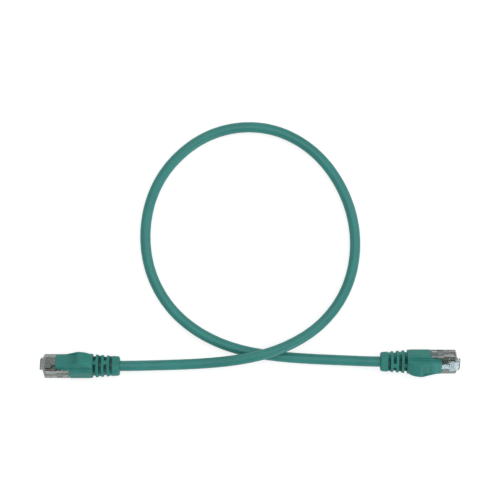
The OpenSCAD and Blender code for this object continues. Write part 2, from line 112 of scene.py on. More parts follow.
def gridObject(name, grid, material, uv=None, loopRows=False):
    # a surface from a grid of points: columns close round each row, and the end rows close by caps or a loop
    rows, columns = grid.shape[:2]
    spans = rows if loopRows else rows - 1
    i, j = np.meshgrid(np.arange(spans), np.arange(columns), indexing="ij")
    nextRow, nextColumn = (i + 1) % rows, (j + 1) % columns
    quads = np.stack([i * columns + j, i * columns + nextColumn,
                      nextRow * columns + nextColumn, nextRow * columns + j], axis=-1).reshape(-1, 4)
    faces = quads.tolist()
    if not loopRows:
        faces += [list(range(columns))[::-1], list(range((rows - 1) * columns, rows * columns))]
    mesh = bpy.data.meshes.new(name)
    mesh.from_pydata(grid.reshape(-1, 3).tolist(), [], faces)
    if uv is not None:
        around = np.stack([j, j + 1, j + 1, j], axis=-1).reshape(-1) / columns
        along = uv[np.stack([i, i, nextRow, nextRow], axis=-1).reshape(-1)]
        layer = mesh.uv_layers.new(name="alongAndAround")
        flat = np.zeros(2 * len(mesh.loops))
        flat[0:2 * len(around):2] = around
        flat[1:2 * len(around):2] = along
        layer.data.foreach_set("uv", flat)
    mesh.polygons.foreach_set("use_smooth", np.ones(len(mesh.polygons), bool))
    mesh.update()
    made = bpy.data.objects.new(name, mesh)
    scene.collection.objects.link(made)
    if material:
        mesh.materials.append(material)
    return made


def markPaintedShade(mesh, share):  # how much painted shade darkens a point of the surface, from 0 to 1
    mesh.attributes.new("painted_shade", "FLOAT", "POINT").data.foreach_set("value", share.astype(np.float32))


# The lie of the plugs, repeated from the part's own sizes in millimetres
plugLie = dict(halfSpan=116.5, sideways=1.2, axisHeight=6.01497, roll=30)


def placePlug(points, plug):
    # a plug's own points, x back from its nose tip and the latch up, are rolled and laid in the shared frame
    c, s = np.cos(np.radians(plugLie["roll"])), np.sin(np.radians(plugLie["roll"]))
    x, y, z = np.moveaxis(np.asarray(points, float), -1, 0)
    turn = 1 - 2 * plug
    placed = np.stack([
        turn * (x - plugLie["halfSpan"]),
        turn * (-plugLie["sideways"] + y * c + z * s),
        plugLie["axisHeight"] - y * s + z * c,
    ], axis=-1)
    return placed * mm


# Camera: straight down, as the photograph looks
view = dict(middle=(0, 0.0632), height=1.004, acrossAtCable=0.2775, cableHeight=0.007, sensor=36)
cameraData = bpy.data.cameras.new("camera")
cameraData.sensor_width = view["sensor"]
cameraData.lens = view["sensor"] * (view["height"] - view["cableHeight"]) / view["acrossAtCable"]
camera = bpy.data.objects.new("camera", cameraData)
camera.location = (*view["middle"], view["height"])
scene.collection.objects.link(camera)
scene.camera = camera
print("camera made")

# The cable's sizes in millimetres, from the nose tip where they are places along a plug
cable = dict(
    diameter=5.8, wall=0.5, squeeze=0.6, flatness=6, stations=728, sides=40,
    pairs=4, lay=24, layDepth=0.03, press=0.1, start=11.9, declaredFrom=14.7, squeezedTo=23.4, roundFrom=26.5,
    midBoot=35.0, bootEnd=44.2)

# Materials: sizes of patterns and depths of relief are in millimetres
# the third colour of each PVC finish is painted shade: the dark of the deep slots, the thumb scoop and the
# cable inside the boot
jacketFinish = dict(dark="#267d76", light="#2f8b83", shadeColour="#124f49", lineWidth=0.45, lineLength=80, patch=16,
                    satin=(0.38, 0.52), shine=0.5, relief=0.05, bump=0.25)
bootFinish = dict(dark="#267c73", light="#2e867c", shadeColour="#04544c", grain=0.4, patch=7,
                  satin=(0.42, 0.58), shine=0.36, relief=0.03, bump=0.3)
clearFinish = dict(streakLength=8, streakWidth=1.1, relief=0.03, bump=0.12, lampTint="#f4f4f4")
clearPieces = dict(
    housing=dict(name="clear_polycarbonate", tint="#989f9c", haze=0.03, gloss=(0.05, 0.12)),
    latch=dict(name="latch_polycarbonate", tint="#c2c8c8", haze=0.06, gloss=(0.05, 0.12)),
    loadBar=dict(name="load_bar_polycarbonate", tint="#e4e6e4", haze=0.04, gloss=(0.1, 0.18)),
)
goldFinish = dict(dark="#cf9c43", light="#e6bd68", streakWidth=0.25, streakLength=2.5, polish=(0.18, 0.34))
insulationFinish = dict(patch=1.2, waxy=(0.32, 0.48), bloom="#ffffff", bloomShare=0.12, stripeShare=0.3)
foamFinish = dict(dark="#e2e2da", light="#f1f1ec", cell=0.7, matt=(0.5, 0.65))
grainRange = {"From Min": 0.3, "From Max": 0.7}  # noise seldom leaves this range
colourMix = dict(out=2, data_type="RGBA")  # the Mix node's colours are its inputs 6 and 7 and its output 2


def patternScale(size):  # a noise scale from a pattern's real size in millimetres
    return 1 / (size * mm)


def finishPvc(tree, finish, share, sheen, relief):
    # both soft PVCs: two close teals, turned towards a painted shade colour where the mesh marks painted
    # shade, with a satin gloss and a low relief
    dark, light, shadeColour = (linearColour(finish[key]) for key in ("dark", "light", "shadeColour"))
    clean = addNode(tree, "ShaderNodeMix", {0: share, 6: dark, 7: light}, **colourMix)
    shadeShare = addNode(tree, "ShaderNodeAttribute", out="Fac", attribute_name="painted_shade")
    colour = addNode(tree, "ShaderNodeMix", {0: shadeShare, 6: clean, 7: shadeColour}, **colourMix)
    low, high = finish["satin"]
    gloss = addNode(tree, "ShaderNodeMapRange", {"Value": sheen, **grainRange, "To Min": low, "To Max": high})
    normal = addNode(tree, "ShaderNodeBump", {"Height": relief, "Strength": finish["bump"],
                                              "Distance": finish["relief"] * mm})
    shader = addNode(tree, "ShaderNodeBsdfPrincipled", {"Base Color": colour, "Roughness": gloss,
                                                        "Normal": normal, "IOR": 1.53,
                                                        "Specular IOR Level": finish["shine"]})
    addNode(tree, "ShaderNodeOutputMaterial", {"Surface": shader})


def jacketPvcMaterial():
    # extruded soft PVC: satin, with faint die lines along the cable and a slightly uneven gloss
    finish = jacketFinish
    made, tree = newMaterial("extruded_soft_pvc_teal")
    uv = addNode(tree, "ShaderNodeTexCoord", out="UV")
    place = addNode(tree, "ShaderNodeTexCoord", out="Object")
    linesAround = np.pi * cable["diameter"] / finish["lineWidth"]
    linesAlong = patternScale(finish["lineLength"])
    lineSpace = addNode(tree, "ShaderNodeMapping", {"Vector": uv, "Scale": (linesAround, linesAlong, 1)})
    lines = addNode(tree, "ShaderNodeTexNoise", {"Vector": lineSpace, "Scale": 1.0, "Detail": 3.0})
    patches = patternScale(finish["patch"])
    cloud = addNode(tree, "ShaderNodeTexNoise", {"Vector": place, "Scale": patches, "Detail": 3.0})
    both = addNode(tree, "ShaderNodeMath", {0: lines, 1: cloud}, operation="MULTIPLY")
    # the product of two noises seldom leaves this range
    share = addNode(tree, "ShaderNodeMapRange", {"Value": both, "From Min": 0.15, "From Max": 0.4})
    finishPvc(tree, finish, share, cloud, lines)
    return made


def bootPvcMaterial():
    # moulded soft PVC: more matt than the cable, with a fine spark-eroded grain from the mould
    finish = bootFinish  # the grain is drawn at 0.4 mm, coarser than the real 0.1 mm, so that it shows
    made, tree = newMaterial("moulded_soft_pvc_teal")
    place = addNode(tree, "ShaderNodeTexCoord", out="Object")
    grains, patches = patternScale(finish["grain"]), patternScale(finish["patch"])
    grain = addNode(tree, "ShaderNodeTexNoise", {"Vector": place, "Scale": grains, "Detail": 2.0})
    cloud = addNode(tree, "ShaderNodeTexNoise", {"Vector": place, "Scale": patches, "Detail": 3.0})
    share = addNode(tree, "ShaderNodeMapRange", {"Value": cloud, **grainRange})
    finishPvc(tree, finish, share, grain, grain)
    return made


def clearPlasticMaterial(name, tint, haze, gloss):
    # moulded polycarbonate: clear with a faint tint and haze, glossy with flow marks, and open to lamp light
    finish = clearFinish
    made, tree = newMaterial(name)
    place = addNode(tree, "ShaderNodeTexCoord", out="Object")
    along, across = patternScale(finish["streakLength"]), patternScale(finish["streakWidth"])
    flowSpace = addNode(tree, "ShaderNodeMapping", {"Vector": place, "Scale": (along, across, across)})
    flow = addNode(tree, "ShaderNodeTexNoise", {"Vector": flowSpace, "Scale": 1.0, "Detail": 3.0})
    rough = addNode(tree, "ShaderNodeMapRange", {"Value": flow, **grainRange, "To Min": gloss[0],
                                                 "To Max": gloss[1]})
    normal = addNode(tree, "ShaderNodeBump", {"Height": flow, "Strength": finish["bump"],
                                              "Distance": finish["relief"] * mm})
    shader = addNode(tree, "ShaderNodeBsdfPrincipled", {"Base Color": linearColour(tint), "Roughness": rough,
                                                        "Normal": normal, "IOR": 1.585,
                                                        "Transmission Weight": 1 - haze})
    through = addNode(tree, "ShaderNodeBsdfTransparent", {"Color": linearColour(finish["lampTint"])})
    lampRay = addNode(tree, "ShaderNodeLightPath", out="Is Shadow Ray")
    mixed = addNode(tree, "ShaderNodeMixShader", {0: lampRay, 1: shader, 2: through})
    addNode(tree, "ShaderNodeOutputMaterial", {"Surface": mixed})
    return made


def goldPlateMaterial():
    # gold flash over nickel: bright metal with fine stamping streaks
    finish = goldFinish
    made, tree = newMaterial("gold_plated_bronze")
    place = addNode(tree, "ShaderNodeTexCoord", out="Object")
    along, across = patternScale(finish["streakLength"]), patternScale(finish["streakWidth"])
    streakSpace = addNode(tree, "ShaderNodeMapping", {"Vector": place, "Scale": (along, along, across)})
    streaks = addNode(tree, "ShaderNodeTexNoise", {"Vector": streakSpace, "Scale": 1.0, "Detail": 3.0})
    share = addNode(tree, "ShaderNodeMapRange", {"Value": streaks, **grainRange})
    dark, light = linearColour(finish["dark"]), linearColour(finish["light"])
    colour = addNode(tree, "ShaderNodeMix", {0: share, 6: dark, 7: light}, **colourMix)
    low, high = finish["polish"]
    gloss = addNode(tree, "ShaderNodeMapRange", {"Value": streaks, **grainRange, "To Min": low,
                                                 "To Max": high})
    shader = addNode(tree, "ShaderNodeBsdfPrincipled", {"Base Color": colour, "Roughness": gloss,
                                                        "Metallic": 1.0})
    addNode(tree, "ShaderNodeOutputMaterial", {"Surface": shader})
    return made


def insulationMaterial(name, ground, stripe):
    # extruded polyethylene insulation: waxy sheen with a pale bloom, the light wires with one coloured stripe
    finish = insulationFinish
    made, tree = newMaterial(name)
    place = addNode(tree, "ShaderNodeTexCoord", out="Object")
    patches = patternScale(finish["patch"])
    wax = addNode(tree, "ShaderNodeTexNoise", {"Vector": place, "Scale": patches, "Detail": 3.0})
    share = addNode(tree, "ShaderNodeMapRange", {"Value": wax, **grainRange, "To Max": finish["bloomShare"]})
    plain, bloom = linearColour(ground), linearColour(finish["bloom"])
    colour = addNode(tree, "ShaderNodeMix", {0: share, 6: plain, 7: bloom}, **colourMix)
    if stripe:
        uv = addNode(tree, "ShaderNodeTexCoord", out="UV")
        around = addNode(tree, "ShaderNodeSeparateXYZ", {"Vector": uv}, out="X")
        width = finish["stripeShare"]
        inStripe = addNode(tree, "ShaderNodeMath", {0: around, 1: width}, operation="LESS_THAN")
        band = linearColour(stripe)
        colour = addNode(tree, "ShaderNodeMix", {0: inStripe, 6: colour, 7: band}, **colourMix)
    low, high = finish["waxy"]
    gloss = addNode(tree, "ShaderNodeMapRange", {"Value": wax, **grainRange, "To Min": low, "To Max": high})
    shader = addNode(tree, "ShaderNodeBsdfPrincipled", {"Base Color": colour, "Roughness": gloss,
                                                        "IOR": 1.51})
    addNode(tree, "ShaderNodeOutputMaterial", {"Surface": shader})
    return made


def foamMaterial():
    # foamed polyethylene: milky white and matt
    finish = foamFinish
    made, tree = newMaterial("foamed_polyethylene_white")
    place = addNode(tree, "ShaderNodeTexCoord", out="Object")
    cells = patternScale(finish["cell"])
    foam = addNode(tree, "ShaderNodeTexNoise", {"Vector": place, "Scale": cells, "Detail": 3.0})
    dark, light = linearColour(finish["dark"]), linearColour(finish["light"])
    colour = addNode(tree, "ShaderNodeMix", {0: foam, 6: dark, 7: light}, **colourMix)
    low, high = finish["matt"]
    gloss = addNode(tree, "ShaderNodeMapRange", {"Value": foam, **grainRange, "To Min": low, "To Max": high})
    shader = addNode(tree, "ShaderNodeBsdfPrincipled", {"Base Color": colour, "Roughness": gloss,
                                                        "IOR": 1.51})
    addNode(tree, "ShaderNodeOutputMaterial", {"Surface": shader})
    return made


jacketPvc = jacketPvcMaterial()
bootPvc = bootPvcMaterial()
housingClear = clearPlasticMaterial(**clearPieces["housing"])
latchClear = clearPlasticMaterial(**clearPieces["latch"])
barClear = clearPlasticMaterial(**clearPieces["loadBar"])
goldPlate = goldPlateMaterial()
whiteFoam = foamMaterial()
print("materials made")

# The cable's route: plug axes at both ends, and between the boots the listed points of the part
routePoints = [
    (-62, -1.1, 2.8), (-48, -0.8, 2.1), (-34, -0.3, 2.3), (-22, 0.5, 3.4), (-11, 1.7, 4.95),
    (-0.9, 3.4, 6.1), (8, 5.5, 6.45), (16.9, 8.5, 5.9), (27.1, 13.3, 4.3), (36.1, 19.2, 2.5),
    (44, 26.7, 1.05), (50.8, 36.2, 0.3), (56, 48.4, 0.05), (58.4, 61.9, 0.05), (57.9, 76, 0.05),
    (54.5, 89.5, 0.05), (48.2, 102.6, 0.05), (39, 114.5, 0.05), (27.4, 123.7, 0.05), (14, 129.6, 0.05),
    (0, 131.6, 0.05), (-14, 129.9, 0.05), (-27, 124.8, 0.05), (-38.6, 116.4, 0.05), (-48, 105.6, 0.05),
    (-54.4, 93, 0.05), (-57.7, 79.5, 0.05), (-58.1, 65.5, 0.05), (-55.4, 51.5, 0.05), (-49.4, 38.3, 0.05),
    (-40.6, 27, 0.05), (-29.4, 18, 0.05), (-16.5, 11.3, 0.05), (-3, 7, 0.05), (11, 4.5, 0.05),
    (25, 3.1, 0.1), (39, 2.3, 0.5), (52, 1.8, 1.5), (63, 1.4, 2.5),
]
axisStops = [cable[key] for key in ("start", "squeezedTo", "roundFrom", "midBoot", "bootEnd")]
route = np.array(routePoints) * mm + np.array([0, 0, cable["diameter"] / 2 * mm])
axisA = placePlug([(x, 0, 0) for x in axisStops], 0)
axisB = placePlug([(x, 0, 0) for x in axisStops[::-1]], 1)
spine, spineLength = splineThrough(np.concatenate([axisA, route, axisB]), cable["stations"])
alongSpine = np.linspace(0, spineLength, cable["stations"])


def crossFrames(points, along):
    # sideways and upward directions at each point, turning evenly from plug A's roll to plug B's
    ahead = np.gradient(points, axis=0)
    ahead /= np.linalg.norm(ahead, axis=1)[:, None]
    left = np.cross([0, 0, 1], ahead)
    left /= np.linalg.norm(left, axis=1)[:, None]
    up = np.cross(ahead, left)
    free = (cable["bootEnd"] - cable["start"]) * mm
    share = np.clip((along - free) / (spineLength - 2 * free), 0, 1)
    turn = np.radians(plugLie["roll"] + (180 - 2 * plugLie["roll"]) * share)[:, None]
    return np.cos(turn) * left - np.sin(turn) * up, np.cos(turn) * up + np.sin(turn) * left


spineSide, spineUp = crossFrames(spine, alongSpine)


def sweep(offsets, centres, side, up):  # a profile of sideways and upward offsets carried along the centres
    return centres[:, None] + offsets[..., 0:1] * side[:, None] + offsets[..., 1:2] * up[:, None]


def makeJacket():
    # a tube swept along the spine: flattened inside the plugs, faintly wavy over the pairs, open at its ends
    angle = np.linspace(0, 2 * np.pi, cable["sides"], endpoint=False)
    fromEnd = np.minimum(alongSpine, spineLength - alongSpine) / mm + cable["start"]
    ease = np.clip((cable["roundFrom"] - fromEnd) / (cable["roundFrom"] - cable["squeezedTo"]), 0, 1)
    ease = (ease * ease * (3 - 2 * ease))[:, None]
    twist = 2 * np.pi * alongSpine[:, None] / (cable["lay"] * mm)
    wave = np.cos(cable["pairs"] * (angle[None, :] - twist))

    def ring(radius, depth, press):
        squeeze = cable["squeeze"] / 2 * ease
        reach = radius - squeeze + press * ease + depth * (wave - 1) / 2 * (1 - ease)
        sideways = reach * np.cos(angle) + 2 * squeeze * np.tanh(cable["flatness"] * np.cos(angle))
        return np.stack([sideways, reach * np.sin(angle)], axis=-1) * mm

    outer = sweep(ring(cable["diameter"] / 2, cable["layDepth"], cable["press"]), spine, spineSide, spineUp)
    inner = sweep(ring(cable["diameter"] / 2 - cable["wall"], 0, 0), spine, spineSide, spineUp)
    grid = np.concatenate([outer, inner[::-1]])
    alongBoth = np.concatenate([alongSpine, alongSpine[::-1]])
    made = gridObject("cable_jacket_tube", grid, jacketPvc, alongBoth, loopRows=True)
    # painted shade on the cable inside the boot, where it shows dark through the slots
    inBoot = np.clip(cable["bootEnd"] - fromEnd, 0, 1) * np.clip(fromEnd - cable["squeezedTo"], 0, 1)
    markPaintedShade(made.data, np.repeat(np.concatenate([inBoot, inBoot[::-1]]), cable["sides"]))
    return made


jacket = makeJacket()
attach(jacket, "cable")
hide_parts("cable_jacket")
print("jacket made, spine", round(spineLength, 4))

# The conductors and the separator between the pairs
core = dict(wire=0.92, sides=12, pairPitch=1.0, pairOffset=1.538, crossReach=2.07, crossThick=0.3,
            contactPitch=1.02, stagger=0.35, rowHeight=-0.3, tip=2.75, straightTo=5.0, barEnd=9.2, lead=0.4,
            fanEnd=11.8, fanSteps=24, midwaySide=0.12, midwayUp=0.95, skip=2, every=2)
wireFinishes = [
    ("wire_white_orange", "#efe6da", "#e07b35"), ("wire_orange", "#e2722c", None),
    ("wire_white_green", "#e4ebe0", "#3c9a5a"), ("wire_blue", "#2f62b5", None),
    ("wire_white_blue", "#e0e6ee", "#3c6cb8"), ("wire_green", "#2f8f4e", None),
    ("wire_white_brown", "#e8ddd2", "#86553a"), ("wire_brown", "#7a4a2b", None),
]
half, offset = core["pairPitch"] / 2, core["pairOffset"]
bundleSpots = [(offset, half), (offset, -half), (half, -offset), (half, offset),
               (-half, offset), (-half, -offset), (-offset, half), (-offset, -half)]


def wireFan(number, plug):
    # in a plug a wire lies straight in the row of contacts, then eases up or down, and sideways after that,
    # to its place in the round bundle
    x = np.linspace(core["barEnd"] - core["lead"], core["fanEnd"], core["fanSteps"])
    x = np.concatenate([[core["tip"], core["straightTo"]], x])
    share = np.clip((x - core["barEnd"]) / (core["fanEnd"] - core["barEnd"]), 0, 1)
    late = hermiteThrough(share, [0, 0.5, 1], [0, core["midwaySide"], 1])
    early = hermiteThrough(share, [0, 0.5, 1], [0, core["midwayUp"], 1])
    rowY = ((len(wireFinishes) - 1) / 2 - number) * core["contactPitch"]
    rowZ = core["rowHeight"] + (core["stagger"] if number % 2 == 0 else -core["stagger"])
    flip = 1 - 2 * plug  # the bundle arrives at plug B upside down
    y = (1 - late) * rowY + late * bundleSpots[number][0]
    z = (1 - early) * rowZ + early * bundleSpots[number][1] * flip
    return placePlug(np.stack([x, y, z], axis=-1), plug)


def makeWire(number, finish):  # a circle swept along both fans and, between them, beside the spine
    keep = slice(core["skip"], -core["skip"], core["every"])
    middle = (spine + bundleSpots[number][0] * mm * spineSide + bundleSpots[number][1] * mm * spineUp)[keep]
    path = np.concatenate([wireFan(number, 0), middle, wireFan(number, 1)[::-1]])
    along = np.concatenate([[0], np.cumsum(np.linalg.norm(np.diff(path, axis=0), axis=1))])
    side, up = crossFrames(path, along)
    angle = np.linspace(0, 2 * np.pi, core["sides"], endpoint=False)
    circle = np.stack([np.cos(angle), np.sin(angle)], axis=-1) * core["wire"] / 2 * mm
    grid = sweep(np.broadcast_to(circle, (len(path), *circle.shape)), path, side, up)
    slot, ground, stripe = finish
    insulation = insulationMaterial(slot.replace("wire", "polyethylene"), ground, stripe)
    made = gridObject(f"insulated_wire_{number + 1}", grid, insulation, along)
    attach(made, "cable")
    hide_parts(f"wire_{number + 1}")
    return made


wires = [makeWire(number, finish) for number, finish in enumerate(wireFinishes)]


def makeSeparator():
    # a cross-shaped profile swept along the spine, its four arms on the diagonals between the pairs
    reach, thick = core["crossReach"] * mm, core["crossThick"] / 2 * mm
    arm = np.array([(reach - thick, -thick), (reach, 0), (reach - thick, thick), (thick, thick)])
    turns = np.radians(45 + 90 * np.arange(4))[:, None]
    u, v = arm[:, 0], arm[:, 1]
    cross = np.stack([u * np.cos(turns) - v * np.sin(turns), u * np.sin(turns) + v * np.cos(turns)], axis=-1)
    profile = cross.reshape(-1, 2)
    keep = slice(None, None, core["every"])
    grid = sweep(np.broadcast_to(profile, (len(spine[keep]), *profile.shape)), spine[keep], spineSide[keep],
                 spineUp[keep])
    made = gridObject("pair_separator_cross", grid, whiteFoam)
    made.data.polygons.foreach_set("use_smooth", np.zeros(len(made.data.polygons), bool))
    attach(made, "cable")
    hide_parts("pair_separator")
    return made


separator = makeSeparator()
hidden = (cable["declaredFrom"] - cable["start"]) * mm
shown = slice(*np.searchsorted(alongSpine, [hidden, spineLength - hidden]))
print("wires and separator made")

# The moulded boots, in millimetres along the plug from its nose tip, with the latch up
# three of these sizes set how deep the painted shade in the thumb scoop and the slots reaches, and how it
# fades at a slot's edges
bootShape = dict(
    hoodFronts=(8.8, 10.6), hoodHalf=3.8, hoodCorner=0.9, lip=0.25, floor=3.35, wall=0.7, clear=0.3, fit=0.05,
    leverX=2.0, leverZ=3.55, leverSlope=0.16, leverThick=0.9, leverHalf=1.625, leverEnd=14.6,
    bumpX=22.2, bumpZ=10.2, tailShare=0.4, tailCorner=1.8, cheek=0.75, thumbShade=3.6,
    skirtStart=1.5, skirtEnd=18.0, skirtLap=2.0, neckHalf=(5.2, 3.1), housingEnd=23.3,
    slotPitch=3.05, slotWidth=1.5, slotDepth=0.8, slots=4, slotShade=1.3, shadeEdge=0.25,
    coreHalf=2.55, bridgeHalf=1.2, reach=12.0, overshoot=1.0, weld=0.001,
    loftSteps=90, scoopSteps=30, boreSides=48, cornerSteps=10, voxel=0.19, relax=0.5, relaxTimes=5)
bumpProfile = np.array([  # along from the crest, share of the bump's height, extra half width, corner radius
    (-9.3, 0, 0, 0.9), (-4.6, 0.5, 0.2, 1.1), (0, 1, 0.4, 1.4), (2, 0.91, 0.4, 1.6), (4.2, 0.68, 0.4, 1.8),
    (6, 0.28, 0.3, 2),
])
scoopProfile = np.array([  # the hollow for the thumb: along from the crest, share of the bump's height
    (-9, 0.04), (-6.6, 0.15), (-4.8, 0.19), (-3.2, 0.34), (-1.8, 0.58), (-0.7, 0.86), (-0.3, 0.975),
])
sleeveSections = np.array([  # along the plug, half width, lowest and highest, corner radius
    (16.6, 6.14, -3.95, 4.2, 1.3), (27.0, 6.14, -3.95, 4.2, 1.3), (29.4, 6.07, -4.175, 4.3, 2.05),
    (30.9, 6.0, -4.4, 4.4, 2.8), (43.6, 5.3, -4.2, 4.2, 3.6), (cable["bootEnd"], 4.7, -3.6, 3.6, 3.0),
])
sleeveX, sleeveHalf, _, sleeveTop, sleeveCorner = sleeveSections[0]
slotX = sleeveSections[2, 0]  # the first slot starts where the strain relief does
scoopHalf = bootShape["hoodHalf"] - bootShape["cheek"]


def roundedRings(x, halfWidth, low, high, corner):  # rectangles with four round corners along the plug
    steps = bootShape["cornerSteps"]
    quarter = np.linspace(0, np.pi / 2, steps)
    angle = np.concatenate([quarter + k * np.pi / 2 for k in range(4)])
    signY = np.repeat([1, -1, -1, 1], steps)
    isTop = np.repeat([True, True, False, False], steps)
    x, halfWidth, low, high, corner = np.asarray([x, halfWidth, low, high, corner], float)[..., None]
    y = signY * (halfWidth - corner) + corner * np.cos(angle)
    z = np.where(isTop, high - corner, low + corner) + corner * np.sin(angle)
    return np.stack([np.broadcast_to(x, y.shape), y, z], axis=-1)


def prism(outline, axis, low, high):  # a flat outline given a thickness along one axis
    outline = np.asarray(outline, float)
    return np.stack([np.insert(outline, axis, value, axis=1) for value in (low, high)])


def box(low, high):  # the corners of a box, as the two ends of a prism along the plug
    outline = [(low[1], low[2]), (high[1], low[2]), (high[1], high[2]), (low[1], high[2])]
    return prism(outline, 0, low[0], high[0])


def solid(name, grid):  # a closed helper solid with its faces outwards
    made = gridObject(name, grid, None)
    work = bmesh.new()
    work.from_mesh(made.data)
    bmesh.ops.remove_doubles(work, verts=work.verts, dist=bootShape["weld"])
    bmesh.ops.recalc_face_normals(work, faces=work.faces)
    work.to_mesh(made.data)
    work.free()
    return made


def settle(made):  # turns the modifiers into the mesh itself
    graph = bpy.context.evaluated_depsgraph_get()
    mesh = bpy.data.meshes.new_from_object(made.evaluated_get(graph))
    made.modifiers.clear()
    old, made.data = made.data, mesh
    bpy.data.meshes.remove(old)


def combine(base, other, operation):  # an exact boolean that uses the other solid up
    change = base.modifiers.new(operation, "BOOLEAN")
    change.object = other
    change.operation = operation
    change.solver = "EXACT"
    settle(base)
    bpy.data.objects.remove(other)


def roofHeight(x):  # the underside of the hood, which rises with the resting lever
    shape = bootShape
    lever = shape["leverZ"] + shape["leverSlope"] * (x - shape["leverX"])
    return lever + shape["leverThick"] + shape["clear"]


def bumpHeight(share):  # from the foot of the ramp, at 0, to the crest, at 1
    foot = roofHeight(bootShape["bumpX"] + bumpProfile[0, 0]) + bootShape["wall"]
    return foot + (bootShape["bumpZ"] - foot) * share


def hoodLoft(front):
    # sections with two round upper corners, from the lip along the lever, up the ramp to the crest and down
    shape = bootShape
    lip, lipX = shape["lip"], front + 2 * shape["lip"]
    tail = sleeveTop + shape["tailShare"] * (shape["bumpZ"] - sleeveTop)
    stations = np.concatenate([[lipX], shape["bumpX"] + bumpProfile[:, 0], [slotX]])
    tops = np.concatenate([[roofHeight(lipX) + shape["wall"]], bumpHeight(bumpProfile[:, 1]), [tail]])
    widths = shape["hoodHalf"] + np.concatenate([[0], bumpProfile[:, 2], [0]])
    corners = np.concatenate([[shape["hoodCorner"]], bumpProfile[:, 3], [shape["tailCorner"]]])
    x = np.linspace(lipX, slotX, shape["loftSteps"])
    top, halfWidth, corner = (hermiteThrough(x, stations, values) for values in (tops, widths, corners))
    x = np.insert(x, 0, front)
    top = np.insert(top, 0, roofHeight(front) + shape["wall"] - lip)
    halfWidth = np.insert(halfWidth, 0, shape["hoodHalf"] - lip)
    corner = np.insert(corner, 0, shape["hoodCorner"] - lip)
    rings = roundedRings(x, halfWidth, np.full_like(x, shape["floor"]), top, corner)
    lower = rings[..., 2] < shape["floor"] + corner[:, None]
    rings[..., 2] = np.where(lower, shape["floor"], rings[..., 2])
    rings[..., 1] = np.where(lower, np.sign(rings[..., 1]) * halfWidth[:, None], rings[..., 1])
    return rings


def skirtPrism(front):  # the flat flange that widens from the hood to the sleeve
    shape = bootShape
    inset, back = sleeveHalf - sleeveCorner, shape["skirtEnd"] + shape["skirtLap"]
    side = [(front + shape["skirtStart"], shape["hoodHalf"]), (shape["skirtEnd"], inset), (back, inset)]
    outline = [(x, -y) for x, y in side] + side[::-1]
    return prism(outline, 2, shape["floor"], sleeveTop)


def slotBoxes():
    # a slot is cut from two sides and leaves a bridge on the other two, by turns across and upright
    shape = bootShape
    whole = (-shape["reach"], shape["reach"])
    for k in range(shape["slots"]):
        start = slotX + k * shape["slotPitch"]
        for cut in ((whole[0], -shape["bridgeHalf"]), (shape["bridgeHalf"], whole[1])):
            across, upright = (cut, whole) if k % 2 == 0 else (whole, cut)
            yield box((start, across[0], upright[0]), (start + shape["slotWidth"], across[1], upright[1]))


def scoopPrism():  # the hollow for the thumb, open upwards, with a cheek left at each side
    shape = bootShape
    along = np.linspace(scoopProfile[0, 0], scoopProfile[-1, 0], shape["scoopSteps"])
    depth = bumpHeight(hermiteThrough(along, *scoopProfile.T))
    hollow = np.stack([shape["bumpX"] + along, depth], axis=-1)
    over = shape["bumpZ"] + shape["overshoot"]
    outline = np.concatenate([hollow, [(shape["bumpX"], over), (shape["bumpX"] + along[0], over)]])
    return prism(outline, 1, -scoopHalf, scoopHalf)


def leverRoom(front):  # the room under the hood in which the lever moves
    shape = bootShape
    start, end = front - shape["overshoot"], shape["leverEnd"] + 2 * shape["clear"]
    half = shape["leverHalf"] + shape["clear"]
    outline = [(start, 0), (end, 0), (end, roofHeight(end)), (start, roofHeight(start))]
    return prism(outline, 1, -half, half)


def bootPaintedShade(points):
    # painted shade grows with the depth under the outer surface: in a slot, the distance into the rounded
    # section of the strain relief, and in the thumb scoop, the height of the ramp over it
    shape = bootShape
    x, y, z = points.T
    stations, *sizes = sleeveSections.T
    halfWidth, low, high, corner = (np.interp(x, stations, size) for size in sizes)
    overY = np.abs(y) - halfWidth + corner
    overZ = np.abs(z - (low + high) / 2) - (high - low) / 2 + corner
    outside = np.hypot(np.maximum(overY, 0), np.maximum(overZ, 0)) + np.minimum(np.maximum(overY, overZ), 0)
    middles = slotX + shape["slotWidth"] / 2 + shape["slotPitch"] * np.arange(shape["slots"])
    fromSlot = np.abs(x[:, None] - middles).min(axis=1) - shape["slotWidth"] / 2
    depth = np.clip((corner - outside) / shape["slotShade"], 0, 1)
    inSlot = depth * np.clip(1 - fromSlot / shape["shadeEdge"], 0, 1)
    along = np.clip(x - shape["bumpX"], bumpProfile[0, 0], 0)
    ramp = bumpHeight(hermiteThrough(along, bumpProfile[:, 0], bumpProfile[:, 1]))
    onScoop = (along > scoopProfile[0, 0]) & (along < 0) & (np.abs(y) < scoopHalf) & (z > roofHeight(x))
    return np.maximum(inSlot, np.where(onScoop, np.clip((ramp - z) / shape["thumbShade"], 0, 1), 0))


def softenMoulding(made):  # small even faces, relaxed until each edge has the round of a moulding
    soften = made.modifiers.new("soften", "REMESH")
    soften.mode = "VOXEL"
    soften.voxel_size = bootShape["voxel"]
    relax = made.modifiers.new("relax", "SMOOTH")
    relax.factor = bootShape["relax"]
    relax.iterations = bootShape["relaxTimes"]
    settle(made)


def jacketRooms():  # the flattened room behind the housing and the round bore from there to the boot's end
    shape = bootShape
    over, radius = shape["overshoot"], cable["diameter"] / 2 + shape["fit"]
    angle = np.linspace(0, 2 * np.pi, shape["boreSides"], endpoint=False)
    circle = np.stack([np.cos(angle), np.sin(angle)], axis=-1) * radius
    apart = np.stack([np.sign(np.cos(angle)) * cable["squeeze"] / 2, 0 * angle], axis=-1)
    yield prism(circle + apart, 0, shape["housingEnd"] - over, cable["roundFrom"])
    yield prism(circle, 0, cable["roundFrom"] - over, cable["bootEnd"] + over)


